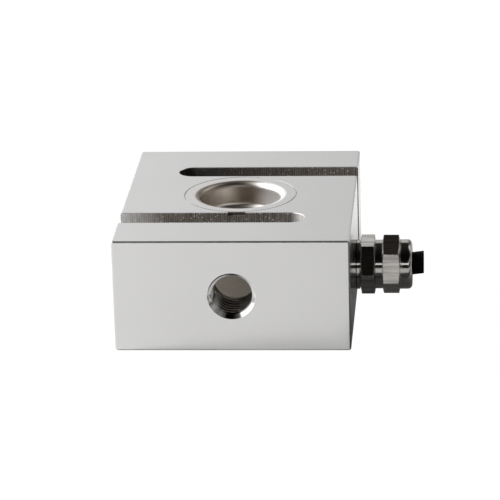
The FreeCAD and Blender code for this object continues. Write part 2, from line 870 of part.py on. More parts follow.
def make_gauge_wires():
    """Hops from the top tabs to the pads, and longer runs up the wire hole from below."""
    radius = size.wire_radius.value
    tab_y = -size.tab_front.value
    pad_y = -(size.strip_front - size.pad_length / 2).value - 2 * radius
    pad_z = pad_top.value
    hop_z = pad_z + size.wire_hop.value
    tab_stand = (size.film_thickness + size.foil_thickness).value
    hops = []
    for pad_place in TOP_WIRE_PADS:
        x = pad_place * pad_pitch.value
        route = [
            Vector(x, tab_y, web_top.value + tab_stand),
            Vector(x, tab_y, hop_z),
            Vector(x, pad_y, hop_z),
            Vector(x, pad_y, pad_z),
        ]
        hops.append(sweep(Part.makePolygon(route), radius, MITRED))
    add_solid("top_gauge_wires", Part.makeCompound(hops))

    hole_x, hole_y = -size.wire_hole_side.value, -size.wire_hole_front.value
    under = web_bottom.value - tab_stand
    low = under - size.wire_hop.value
    lane_z = web_top.value + 2 * radius
    longer = []
    for lane, (tab_place, pad_place) in enumerate(zip(TOP_WIRE_PADS, BOTTOM_WIRE_PADS)):
        tab_x = tab_place * pad_pitch.value
        pad_x = pad_place * pad_pitch.value
        step = (lane - 1) * size.wire_lane.value
        up_x, up_y = hole_x + step, hole_y + step
        below = low - step
        route = [
            Vector(tab_x, tab_y, under),
            Vector(tab_x, tab_y, below),
            Vector(tab_x, up_y, below),
            Vector(up_x, up_y, below),
            Vector(up_x, up_y, lane_z),
            Vector(pad_x, up_y, lane_z),
            Vector(pad_x, up_y, hop_z),
            Vector(pad_x, pad_y, hop_z),
            Vector(pad_x, pad_y, pad_z),
        ]
        longer.append(sweep(Part.makePolygon(route), radius, MITRED))
    add_solid("bottom_gauge_wires", Part.makeCompound(longer))


def check_document():
    """Stop on any object that failed to rebuild."""
    for obj in doc.Objects:
        if "Invalid" in obj.State or "Error" in obj.State:
            raise RuntimeError(f"{obj.Label} failed: {obj.State}")


def sub_parts():
    kinds = ("PartDesign::Body", "Part::Box", "Part::Feature")
    return [obj for obj in doc.Objects if obj.TypeId in kinds]


def main():
    make_beam()
    make_cover("top_cup_cover", size.beam_thickness - size.cover_sink, False)
    make_cover("bottom_cup_cover", size.cover_sink, True)
    make_washer()
    make_gland_body()
    make_dome_nut()
    make_claw()
    make_seal()
    make_cable()
    make_cores()
    make_gauge("top", web_top, 1)
    make_gauge("bottom", web_bottom, -1)
    make_terminal_strip()
    make_gauge_wires()
    doc.recompute()
    check_document()
    for obj in sub_parts():
        if obj.Shape.isNull() or not obj.Shape.isValid():
            raise RuntimeError(f"{obj.Label} has no valid shape")
    os.makedirs("parts", exist_ok=True)
    for obj in sub_parts():
        obj.Shape.exportStep(f"parts/{obj.Label}.step")


main()
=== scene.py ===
"""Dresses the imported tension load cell: thread ridges, finishes, studio and camera."""

import json
import math

import bpy
from mathutils import Matrix, Vector


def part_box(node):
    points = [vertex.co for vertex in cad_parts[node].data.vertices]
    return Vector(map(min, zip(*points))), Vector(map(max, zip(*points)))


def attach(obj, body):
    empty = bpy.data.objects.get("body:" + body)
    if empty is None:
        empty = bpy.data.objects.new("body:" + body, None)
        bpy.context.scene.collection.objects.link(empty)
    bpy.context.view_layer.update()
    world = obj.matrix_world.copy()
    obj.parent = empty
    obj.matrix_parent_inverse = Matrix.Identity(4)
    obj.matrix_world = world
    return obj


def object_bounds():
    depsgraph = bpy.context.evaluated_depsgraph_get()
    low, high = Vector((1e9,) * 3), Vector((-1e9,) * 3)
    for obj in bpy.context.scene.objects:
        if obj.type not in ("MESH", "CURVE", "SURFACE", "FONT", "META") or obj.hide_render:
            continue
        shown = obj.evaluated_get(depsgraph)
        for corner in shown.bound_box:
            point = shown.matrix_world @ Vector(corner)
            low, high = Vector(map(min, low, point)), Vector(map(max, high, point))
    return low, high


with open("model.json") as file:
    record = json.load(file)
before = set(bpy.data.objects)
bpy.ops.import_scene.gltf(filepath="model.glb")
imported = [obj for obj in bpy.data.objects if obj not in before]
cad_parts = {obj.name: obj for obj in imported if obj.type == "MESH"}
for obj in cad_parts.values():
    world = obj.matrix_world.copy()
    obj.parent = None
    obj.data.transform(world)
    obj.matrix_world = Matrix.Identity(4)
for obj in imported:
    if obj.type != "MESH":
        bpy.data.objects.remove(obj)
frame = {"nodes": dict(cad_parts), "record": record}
CAD_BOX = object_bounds()
RECORD = frame["record"]
NODES = frame["nodes"]

bl_info = {
    "name": "Tension load cell",
    "version": (1, 0, 0),
    "blender": (4, 5, 0),
    "location": "3D View > Sidebar > Load cell",
    "description": "Finishes of a plated S-shaped load cell and the studio it is shown in",
    "category": "Object",
}

# Sizes of the solids that the finishes follow
MM = 0.001
SKIN = 0.03 * MM
BLOCK_SIDE = -CAD_BOX[0].x
BLOCK_FRONT = CAD_BOX[0].y
BLOCK_TOP = CAD_BOX[1].z
BLOCK_MIDDLE = 0.5 * BLOCK_TOP
EDGE_BREAK = 0.35 * MM
SLOT_LINE = 19.9 * MM
SLOT_HALF = 3.95 * MM
SLOT_TIP = 18.4 * MM
NOTCH_HALF = 2.3 * MM
NOTCH_BACK = -15.0 * MM
NOTCH_DEPTH = 0.9 * MM
CUP_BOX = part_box("top_cup_cover")
CUP_RIM = CUP_BOX[1].x
CUP_TOP = CUP_BOX[1].z
CUP_FLOOR = abs(CUP_BOX[0].z - BLOCK_MIDDLE)
CUP_EDGE = 0.13 * MM
SEAM_REACH = 0.15 * MM
SEAT_STEP = 0.006 * MM
FRONT_THREAD = next(mount for mount in RECORD["mounts"] if mount["name"] == "front_thread")
BORE_X, BORE_Y, BORE_Z = FRONT_THREAD["pos_m"]
BORE_RADIUS = FRONT_THREAD["dims"]["r_mm"] * MM
BORE_LENGTH = FRONT_THREAD["dims"]["length_mm"] * MM
COUNTERSINK = 0.35 * MM
NUT_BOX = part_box("gland_dome_nut")
GLAND_Y = 0.5 * (NUT_BOX[0].y + NUT_BOX[1].y)
GLAND_Z = 0.5 * (NUT_BOX[0].z + NUT_BOX[1].z)
ROUND_RADIUS = 6.8 * MM
DOME_LENGTH = 3.35 * MM
WASHER_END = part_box("gland_washer")[1].x + 0.06 * MM
COLLAR_END = WASHER_END + 0.8 * MM


# Settings that a user would change

class LoadCellThread(bpy.types.PropertyGroup):
    """Ridges in the tapped ends."""

    pitch: bpy.props.FloatProperty(
        name="Pitch", description="Distance between neighbouring ridges",
        default=1.75 * MM, unit="LENGTH")
    height: bpy.props.FloatProperty(
        name="Height", description="How far a ridge stands out of the hole's wall",
        default=0.7 * MM, unit="LENGTH")
    foot: bpy.props.FloatProperty(
        name="Foot", description="Width of a ridge at the hole's wall",
        default=1.5 * MM, unit="LENGTH")
    crest: bpy.props.FloatProperty(
        name="Crest", description="Width of a ridge at its crest",
        default=0.6 * MM, unit="LENGTH")
    run_out: bpy.props.FloatProperty(
        name="Run-out", description="Length over which the ridges get lower towards the slot",
        default=3.0 * MM, unit="LENGTH")
    steps: bpy.props.IntProperty(
        name="Steps", description="Straight steps in one turn of a ridge", default=72)


class LoadCellColours(bpy.types.PropertyGroup):
    """Base colours of the finishes."""

    plate: bpy.props.FloatVectorProperty(
        name="Plate", description="Satin plating of the block",
        default=(0.70, 0.70, 0.70), subtype="COLOR")
    slot: bpy.props.FloatVectorProperty(
        name="Slot", description="Wire-cut walls of the slots",
        default=(0.215, 0.193, 0.175), subtype="COLOR")
    # Thread: oily walls deep in the tapped ends, darker there also as painted shade
    thread: bpy.props.FloatVectorProperty(
        name="Thread", description="Oiled walls deep in the tapped ends",
        default=(0.16, 0.15, 0.14), subtype="COLOR")
    cover: bpy.props.FloatVectorProperty(
        name="Cover", description="Pressed stainless cups",
        default=(0.70, 0.695, 0.69), subtype="COLOR")
    # Cup shade colour: the browner, darker inner wall on the cup's left, which is painted shade
    cup_shade_colour: bpy.props.FloatVectorProperty(
        name="Cup tint", description="Straw-brown tint inside the pressed cups",
        default=(0.475, 0.422, 0.365), subtype="COLOR")
    gland: bpy.props.FloatVectorProperty(
        name="Gland", description="Dark bright plating of the gland",
        default=(0.50, 0.485, 0.465), subtype="COLOR")
    sheath: bpy.props.FloatVectorProperty(
        name="Sheath", description="Black sheath of the cable",
        default=(0.004, 0.004, 0.004), subtype="COLOR")


class LoadCellStudio(bpy.types.PropertyGroup):
    """Floor, lights and surroundings."""

    floor: bpy.props.FloatVectorProperty(
        name="Floor", description="Colour of the floor",
        default=(0.87, 0.865, 0.855), subtype="COLOR")
    key_power: bpy.props.FloatProperty(
        name="Key power", description="Power of the large soft light on the left",
        default=24.6, unit="POWER")
    strip_power: bpy.props.FloatProperty(
        name="Strip power", description="Power of the strip light in front",
        default=1.3, unit="POWER")
    backdrop: bpy.props.FloatProperty(
        name="Backdrop", description="Brightness of the wall behind the object", default=1.285)
    key_glow: bpy.props.FloatProperty(
        name="Key glow", description="Brightness of the large soft lamp on the left", default=2.2)
    fill_glow: bpy.props.FloatProperty(
        name="Fill glow", description="Brightness of the weak lamp at the front right", default=0.4)
    side_glow: bpy.props.FloatProperty(
        name="Side glow", description="Brightness of the lamp on the right and of the horizon",
        default=0.9)
    ambient: bpy.props.FloatProperty(
        name="Ambient", description="Share of the surroundings' light that matt surfaces get",
        default=0.25)
    room: bpy.props.FloatProperty(
        name="Room", description="Brightness of the rest of the room", default=0.012)


# Node helpers

def join(tree, source, target):
    """Feeds a socket with another socket or with a plain value."""
    if isinstance(source, bpy.types.NodeSocket):
        tree.links.new(source, target)
    else:
        target.default_value = source


def calculate(tree, operation, first, second=0.0):
    """One Math node's result."""
    node = tree.nodes.new("ShaderNodeMath")
    node.operation = operation
    join(tree, first, node.inputs[0])
    join(tree, second, node.inputs[1])
    return node.outputs[0]


def product(tree, first, *others):
    """Several values multiplied."""
    for other in others:
        first = calculate(tree, "MULTIPLY", first, other)
    return first


def minus(tree, first, second):
    """The difference of two values."""
    return calculate(tree, "SUBTRACT", first, second)


def larger(tree, first, second):
    """The larger of two values."""
    return calculate(tree, "MAXIMUM", first, second)


def unsigned(tree, value):
    """A value without its sign."""
    return calculate(tree, "ABSOLUTE", value)


def above(tree, value, limit):
    """1 where a value is above a limit, else 0."""
    return calculate(tree, "GREATER_THAN", value, limit)


def below(tree, value, limit):
    """1 where a value is below a limit, else 0."""
    return calculate(tree, "LESS_THAN", value, limit)


def from_line(tree, first, second):
    """Length of two sides at a right angle."""
    squares = calculate(tree, "ADD", product(tree, first, first), product(tree, second, second))
    return calculate(tree, "SQRT", squares)


def spread(tree, value, low, high, to_low, to_high):
    """Moves a value from one range to another, held at the ends."""
    node = tree.nodes.new("ShaderNodeMapRange")
    for socket, number in zip(node.inputs[:5], (value, low, high, to_low, to_high)):
        join(tree, number, socket)
    return node.outputs[0]


def rise(tree, value, low, high):
    """Climbs from 0 to 1 between two values."""
    return spread(tree, value, low, high, 0.0, 1.0)


def fade(tree, value, low, high):
    """Falls from 1 to 0 between two values."""
    return spread(tree, value, low, high, 1.0, 0.0)


def lerp(tree, share, first, second):
    """Mixes two values."""
    node = tree.nodes.new("ShaderNodeMix")
    for label, value in (("Factor", share), ("A", first), ("B", second)):
        join(tree, value, node.inputs[label])
    return node.outputs["Result"]


def blend(tree, share, first, second):
    """Mixes two colours, or two normals."""
    node = tree.nodes.new("ShaderNodeMix")
    node.data_type = "RGBA"
    join(tree, share, node.inputs["Factor"])
    join(tree, first, node.inputs[6])
    join(tree, second, node.inputs[7])
    return node.outputs[2]


def opaque(colour):
    """A colour with its alpha."""
    return (*colour, 1.0)


def darker(colour, share):
    """The same colour at a share of its brightness."""
    return (*(share * part for part in colour), 1.0)


def stretched(tree, vector, scale):
    """A vector with its axes scaled."""
    node = tree.nodes.new("ShaderNodeMapping")
    join(tree, vector, node.inputs["Vector"])
    node.inputs["Scale"].default_value = scale
    return node.outputs[0]


def noise(tree, vector, scale, detail=2.0):
    """Smooth noise between 0 and 1."""
    node = tree.nodes.new("ShaderNodeTexNoise")
    join(tree, vector, node.inputs["Vector"])
    join(tree, scale, node.inputs["Scale"])
    node.inputs["Detail"].default_value = detail
    return node.outputs[0]


def bump(tree, height, strength, depth):
    """A normal that follows a height."""
    node = tree.nodes.new("ShaderNodeBump")
    node.inputs["Strength"].default_value = strength
    node.inputs["Distance"].default_value = depth
    join(tree, height, node.inputs["Height"])
    return node.outputs[0]


def split(tree, vector):
    """The three parts of a vector."""
    node = tree.nodes.new("ShaderNodeSeparateXYZ")
    join(tree, vector, node.inputs[0])
    return node.outputs


def new_group(name, inputs, outputs):
    """An empty shader node group with its sockets."""
    group = bpy.data.node_groups.new(name, "ShaderNodeTree")
    for label, kind in inputs:
        group.interface.new_socket(label, in_out="INPUT", socket_type=kind)
    for label in outputs:
        group.interface.new_socket(label, in_out="OUTPUT", socket_type="NodeSocketFloat")
    source = group.nodes.new("NodeGroupInput").outputs
    result = group.nodes.new("NodeGroupOutput").inputs
    return group, source, result


def use_group(tree, name, **values):
    """Places a node group in a material."""
    node = tree.nodes.new("ShaderNodeGroup")
    node.node_tree = bpy.data.node_groups[name]
    for label, value in values.items():
        join(tree, value, node.inputs[label])
    return node.outputs


CLOUD_DETAIL = 3.0
GRAIN_DETAIL = 4.0
PORE_DETAIL = 3.0
TONE_SCALE = 140.0


def make_groups():
    """Effects that several finishes share."""
    scalar = "NodeSocketFloat"
    vector = "NodeSocketVector"
    group, source, result = new_group(
        "metal_skin", [("Vector", vector), ("Clouds", scalar), ("Lines", vector)], ["Cloud", "Grain"])
    cloud = noise(group, source["Vector"], source["Clouds"], CLOUD_DETAIL)
    scaled = group.nodes.new("ShaderNodeVectorMath")
    scaled.operation = "MULTIPLY"
    group.links.new(source["Vector"], scaled.inputs[0])
    group.links.new(source["Lines"], scaled.inputs[1])
    grain = noise(group, scaled.outputs[0], 1.0, GRAIN_DETAIL)
    join(group, cloud, result["Cloud"])
    join(group, grain, result["Grain"])

    group, source, result = new_group(
        "moulded_skin", [("Vector", vector), ("Pores", scalar)], ["Tone", "Height"])
    join(group, noise(group, source["Vector"], TONE_SCALE), result["Tone"])
    join(group, noise(group, source["Vector"], source["Pores"], PORE_DETAIL), result["Height"])

    group, source, result = new_group(
        "specks", [("Vector", vector), ("Scale", scalar), ("Share", scalar)], ["Specks"])
    cells = group.nodes.new("ShaderNodeTexVoronoi")
    join(group, source["Vector"], cells.inputs["Vector"])
    join(group, source["Scale"], cells.inputs["Scale"])
    join(group, below(group, cells.outputs["Distance"], source["Share"]), result["Specks"])


def new_finish(name):
    """A material, its tree, its shader and Object coordinates."""
    material = bpy.data.materials.new(name)
    material.use_nodes = True
    tree = material.node_tree
    place = tree.nodes.new("ShaderNodeTexCoord").outputs["Object"]
    return material, tree, tree.nodes["Principled BSDF"].inputs, place


def give(finish, *pieces):
    """Puts a finish on pieces or CAD nodes."""
    for piece in pieces:
        piece.data.materials.clear()
        piece.data.materials.append(finish)


# Finishes: ranges of the noise that they use, and the depth of fine lines
GRAIN_RANGE = (0.3, 0.7)
SHARP_GRAIN_RANGE = (0.35, 0.65)
FINE_DEPTH = 0.02 * MM

# Block: ground plating
PLATE_CLOUDS = 45.0
PLATE_SHADE = 0.94
PLATE_ROUGHNESS = (0.17, 0.23)
GROUND_LINES = (25.0, 2600.0, 2600.0)
GROUND_HEIGHT = 0.04
CORNER_METAL = 0.87
BLOCK_BUMP = 0.5
BLOCK_DEPTH = 0.04 * MM

# Block: wire-cut walls of the slots
CUT_GRAIN = (2600.0, 2600.0, 500.0)
CUT_STEPS = {"Scale": 520.0, "Distortion": 1.5, "Detail": 2.0, "Detail Scale": 3.0}
CUT_SHADES = (0.38, 1.4)
CUT_METAL = 0.2
CUT_ROUGHNESS = (0.65, 0.5)
SPECKS = {"Scale": 1100.0, "Share": 0.17}
SPECK_SHARE = 0.9
SPECK_COLOUR = (0.9, 0.87, 0.84, 1.0)
# Painted light: the front slot's walls turn to the plate's colour towards its open mouth
MOUTH_LIGHT_SHARES = (0.6, 1.0)
# Painted light: the slots' walls are lighter at mid-depth, away from the block's top and bottom
MIDWALL_LIGHT_REACH = (0.28 * BLOCK_TOP, 0.38 * BLOCK_TOP)
MIDWALL_LIGHT_SHARE = 0.8
MIDWALL_LIGHT_COLOUR = (0.66, 0.61, 0.55, 1.0)
# Painted shade: the back slot's walls get darker towards its closed end, and the notch gets darker as well
SLOT_SHADE_REACH = (-0.5 * SLOT_TIP, 1.2 * SLOT_TIP)
SLOT_SHADE_SHARE = 0.85
SLOT_SHADE_DARKNESS = 0.15
NOTCH_SHADE_SHARE = 0.4
# Painted light: the front slot's round end gets a lighter, more matt colour, so that the key light shows on
# it
END_REACH = 0.4 * SLOT_HALF
END_LIGHT_COLOUR = (0.48, 0.47, 0.46, 1.0)
END_METAL = 0.3
END_ROUGHNESS = 0.2

# Block: seat of the top cup
SEAT_COLOUR = (0.7, 0.7, 0.69, 1.0)
SEAT_SIDES = (-0.3 * CUP_RIM, 0.3 * CUP_RIM)
SEAT_METALS = (1.0, 0.2)

# Block: tapped ends, with turns in degrees from straight down towards the gland
# Painted shade: between these turns the tapped ends are darker, and the darkening reaches nearer the mouth
SHADED_SIDE_TURNS = (5.0, 25.0)
# Painted shade on the rims between these turns
RIM_SHADE_TURNS = ((-22.0, -12.0), (20.0, 27.0))
# Painted light on the rims: a lighter, more matt colour between these turns, partly and fully
RIM_LIGHT_TURNS = ((-80.0, -55.0), (-32.0, -14.0))
PALE_TURNS = ((75.0, 90.0), (145.0, 175.0))
RIM_LIGHT_SHARE = 0.8
RIM_LIGHT_COLOUR = (0.8, 0.8, 0.79, 1.0)
RIM_LIGHT_METAL = 0.35
RIM_REACH = 2.2 * MM
# Oily walls with painted shade: distance from the mouth where the tapped ends start to darken, on most sides
# and on the darker side
OIL_AND_SHADE_REACH = 8.0 * MM
SHADED_SIDE_REACH = 2.2 * MM
DRY_REACH = 0.8 * MM
DRY_SHADE = 0.85
SHADED_SIDE_DARKNESS = 0.15
RIM_SHADE_DARKNESS = 0.35
BORE_ROUGHNESS = 0.12


def notch_share(tree, place):
    """1 in the pry notch between the top cup's seat and the front slot."""
    x, y, z = split(tree, place)
    across = below(tree, unsigned(tree, x), NOTCH_HALF + SKIN)
    along = product(tree, above(tree, y, -SLOT_LINE), below(tree, y, NOTCH_BACK + SKIN))
    upright = product(tree, above(tree, z, BLOCK_TOP - NOTCH_DEPTH - SKIN), below(tree, z, CUP_TOP))
    return product(tree, across, along, upright)


def slot_zones(tree, place):
    """Shares of the slots' walls, a round end painted lighter, a painted pool of light at the front slot's
    mouth, painted light at mid-depth, and painted shade at the back slot's closed end and in the notch.
    """
    x, y, z = split(tree, place)
    front = below(tree, y, 0.0)
    towards_open = product(tree, x, calculate(tree, "SIGN", y))
    past = larger(tree, minus(tree, SLOT_HALF - SLOT_TIP, towards_open), 0.0)
    across = minus(tree, unsigned(tree, y), SLOT_LINE)
    inside = below(tree, from_line(tree, past, across), SLOT_HALF + SKIN)
    notch = notch_share(tree, place)
    wall = larger(tree, inside, notch)
    # the front slot's round end, painted lighter
    end = product(tree, front, rise(tree, past, 0.0, END_REACH))
    # painted light at the front slot's open mouth
    mouth = product(tree, front, fade(tree, x, -BLOCK_SIDE, -SLOT_TIP))
    # painted light at mid-depth of the slots' walls
    deep = fade(tree, unsigned(tree, minus(tree, z, BLOCK_MIDDLE)), *MIDWALL_LIGHT_REACH)
    # painted shade towards the back slot's closed end and in the notch
    painted_slot_shade = product(tree, fade(tree, x, *SLOT_SHADE_REACH), minus(tree, 1.0, front))
    painted_slot_shade = larger(tree, painted_slot_shade, product(tree, notch, NOTCH_SHADE_SHARE))
    return wall, end, mouth, deep, painted_slot_shade


def cut_marks(tree, place):
    """Upright marks that the cutting wire left along the slots, at even steps and at random."""
    steps = tree.nodes.new("ShaderNodeTexWave")
    join(tree, place, steps.inputs["Vector"])
    for label, value in CUT_STEPS.items():
        steps.inputs[label].default_value = value
    grain = noise(tree, stretched(tree, place, CUT_GRAIN), 1.0)
    return lerp(tree, 0.5, rise(tree, grain, *SHARP_GRAIN_RANGE), steps.outputs["Fac"])


def seat_share(tree, place):
    """1 on the upright wall round the top cup, which shows only through the seam."""
    x, y, z = split(tree, place)
    radius = from_line(tree, x, y)
    ring = product(tree, below(tree, radius, CUP_RIM + SEAM_REACH), above(tree, radius, CUP_RIM - SKIN))
    return product(tree, ring, below(tree, z, BLOCK_TOP - SEAT_STEP))


def corner_share(tree, place):
    """1 on the broken edge between the block's front and top."""
    _, y, z = split(tree, place)
    return product(tree, below(tree, y, BLOCK_FRONT + EDGE_BREAK), above(tree, z, BLOCK_TOP - EDGE_BREAK))


def sector(tree, turn, start, end):
    """1 between two turns, each given as a soft border."""
    return product(tree, rise(tree, turn, *start), fade(tree, turn, *end))


def bore_zones(tree, place):
    """Shares of the tapped ends' walls, of their oily walls further in, darkened as painted shade, of a side
    with stronger painted shade, and of painted shade and painted light round the rims.
    """
    x, y, z = split(tree, place)
    mouth = abs(BORE_Y)
    radius = from_line(tree, x, minus(tree, z, BORE_Z))
    along = unsigned(tree, y)
    inside = below(tree, radius, BORE_RADIUS + SKIN)
    past_cone = below(tree, minus(tree, along, radius), mouth - BORE_RADIUS - SKIN)
    wall = product(tree, inside, above(tree, along, SLOT_LINE), past_cone)
    turn = calculate(tree, "DEGREES", calculate(tree, "ARCTAN2", x, minus(tree, BORE_Z, z)))
    # painted shade on one side; oily walls with painted shade further in
    shaded_side = rise(tree, turn, *SHADED_SIDE_TURNS)
    oil_and_shade_end = minus(tree, mouth, lerp(tree, shaded_side, OIL_AND_SHADE_REACH, SHADED_SIDE_REACH))
    oil_and_shade = fade(tree, along, oil_and_shade_end, mouth - DRY_REACH)
    rim = product(tree, below(tree, radius, BORE_RADIUS + COUNTERSINK), above(tree, along, mouth - RIM_REACH))
    # painted shade on the rims between two turns
    grime_and_shade = product(tree, sector(tree, turn, *RIM_SHADE_TURNS), rim)
    # painted light on the rims between turns
    rim_light = product(tree, sector(tree, turn, *RIM_LIGHT_TURNS), RIM_LIGHT_SHARE)
    rim_light = product(tree, larger(tree, rim_light, sector(tree, turn, *PALE_TURNS)), rim)
    return wall, oil_and_shade, shaded_side, grime_and_shade, rim_light


def plated_steel(colours):
    """Satin plating with ground lines, wire-cut walls in the slots and oily tapped ends, with painted light
    and painted shade in the slots and the tapped ends.
    """
    finish, tree, shader, place = new_finish("plated_steel")
    skin = use_group(tree, "metal_skin", Vector=place, Clouds=PLATE_CLOUDS, Lines=GROUND_LINES)
    slot, end, mouth, deep, painted_slot_shade = slot_zones(tree, place)
    bore, oil_and_shade, shaded_side, grime_and_shade, rim_light = bore_zones(tree, place)
    seat = seat_share(tree, place)
    cuts = cut_marks(tree, place)
    specks = use_group(tree, "specks", Vector=place, **SPECKS)["Specks"]

    plate = blend(tree, skin["Cloud"], darker(colours.plate, PLATE_SHADE), opaque(colours.plate))
    plate = blend(tree, seat, plate, SEAT_COLOUR)
    dark_cut, pale_cut = CUT_SHADES
    wall = blend(tree, cuts, darker(colours.slot, dark_cut), darker(colours.slot, pale_cut))
    wall = blend(tree, product(tree, specks, SPECK_SHARE), wall, SPECK_COLOUR)
    # painted light: the plate's colour near the front slot's open mouth
    painted_mouth_light = product(tree, mouth, spread(tree, cuts, 0.0, 1.0, *MOUTH_LIGHT_SHARES))
    wall = blend(tree, painted_mouth_light, wall, opaque(colours.plate))
    # painted light at mid-depth of the slots' walls
    wall = blend(tree, product(tree, deep, MIDWALL_LIGHT_SHARE), wall, MIDWALL_LIGHT_COLOUR)
    # painted shade at the back slot's closed end and in the notch
    wall = blend(tree, product(tree, painted_slot_shade, SLOT_SHADE_SHARE), wall, darker(colours.slot, SLOT_SHADE_DARKNESS))
    # painted light on the front slot's round end
    wall = blend(tree, end, wall, END_LIGHT_COLOUR)
    # oily walls with painted shade, darker further in and on one side
    oiled_and_shaded = blend(tree, shaded_side, opaque(colours.thread), darker(colours.thread, SHADED_SIDE_DARKNESS))
    oiled_and_shaded = blend(tree, oil_and_shade, darker(colours.plate, DRY_SHADE), oiled_and_shaded)
    colour = blend(tree, bore, blend(tree, slot, plate, wall), oiled_and_shaded)
    # painted shade on the tapped ends' rims
    colour = blend(tree, grime_and_shade, colour, darker(colours.thread, RIM_SHADE_DARKNESS))
    # painted light on the tapped ends' rims
    join(tree, blend(tree, rim_light, colour, RIM_LIGHT_COLOUR), shader["Base Color"])

    seat_metal = spread(tree, split(tree, place)[0], *SEAT_SIDES, *SEAT_METALS)
    metal = lerp(tree, rim_light, lerp(tree, seat, 1.0, seat_metal), RIM_LIGHT_METAL)
    metal = lerp(tree, corner_share(tree, place), metal, CORNER_METAL)
    join(tree, lerp(tree, slot, metal, lerp(tree, end, CUT_METAL, END_METAL)), shader["Metallic"])

    smooth = spread(tree, skin["Grain"], *GRAIN_RANGE, *PLATE_ROUGHNESS)
    rough = lerp(tree, end, lerp(tree, cuts, *CUT_ROUGHNESS), END_ROUGHNESS)
    join(tree, lerp(tree, bore, lerp(tree, slot, smooth, rough), BORE_ROUGHNESS), shader["Roughness"])

    lines = product(tree, skin["Grain"], GROUND_HEIGHT)
    grooves = product(tree, cuts, minus(tree, 1.0, end), slot)
    height = calculate(tree, "ADD", lines, grooves)
    join(tree, bump(tree, height, BLOCK_BUMP, BLOCK_DEPTH), shader["Normal"])
    return finish


# Cups: polished sheet
RING_SCALE = 3000.0
DRAW_SCALE = 1500.0
COVER_CLOUDS = 120.0
COVER_LINES = (400.0, 400.0, 400.0)
COVER_SHADE = 0.94
COVER_ROUGHNESS = (0.2, 0.26)
COVER_BUMP = 0.06
CUP_REACH = (0.8 * CUP_RIM, 0.84 * CUP_RIM)
CUP_SHADE = 0.9
CUP_DULLNESS = 0.12
# Painted shade: the cup's inner wall is browner and darker, fading out towards the right
CUP_SHADE_REACH = (0.15 * CUP_RIM, 0.45 * CUP_RIM)
# Painted light: inside the cup, away from the painted shade, a near-white, partly matt colour so that the key
# light shows
CUP_LIGHT_COLOUR = (0.93, 0.925, 0.92, 1.0)
CUP_LIGHT_METAL = 0.89

# Cups: painted highlight on the fillet round the floor
FILLET_HEIGHTS = (CUP_FLOOR + 0.8 * MM, CUP_FLOOR + 1.9 * MM)
FILLET_RADII = (0.5 * CUP_RIM, 0.62 * CUP_RIM)
FILLET_SIDES = (-0.15 * CUP_RIM, 0.05 * CUP_RIM)
FILLET_SHARES = (1.0, 0.25)
FILLET_HIGHLIGHT_COLOUR = (1.0, 0.96, 0.9, 1.0)

# Cups: grimy seam with painted shade, widest and darkest at the front
SEAM_FRONT = (-0.25 * CUP_RIM, 0.25 * CUP_RIM)
SEAM_LEFT = (-0.95 * CUP_RIM, -0.75 * CUP_RIM)
SEAM_GAIN = 2.5
SEAM_SHARES = (0.2, 1.0)
SEAM_METAL = 0.2
SEAM_WALL_SHADE = 0.8
SEAM_NOTCH_SHADE = 0.5


def painted_fillet_highlight(tree, place, radius):
    """Share of the painted highlight on the fillet between a cup's wall and its floor, brightest on the left.
    """
    x, _, z = split(tree, place)
    height = unsigned(tree, minus(tree, z, BLOCK_MIDDLE))
    fillet = product(tree, fade(tree, height, *FILLET_HEIGHTS), rise(tree, radius, *FILLET_RADII))
    return product(tree, fillet, spread(tree, x, *FILLET_SIDES, *FILLET_SHARES))


def seam_grime_and_shade(tree, place, radius):
    """Share of the grimy edge round a cup's flange, widened and darkened at the front as painted shade."""
    x, y, _ = split(tree, place)
    near = product(tree, fade(tree, y, *SEAM_FRONT), rise(tree, x, *SEAM_LEFT))
    width = product(tree, calculate(tree, "ADD", product(tree, near, SEAM_GAIN), 1.0), CUP_EDGE)
    edge = above(tree, calculate(tree, "ADD", radius, width), CUP_RIM)
    return product(tree, edge, spread(tree, near, 0.0, 1.0, *SEAM_SHARES))


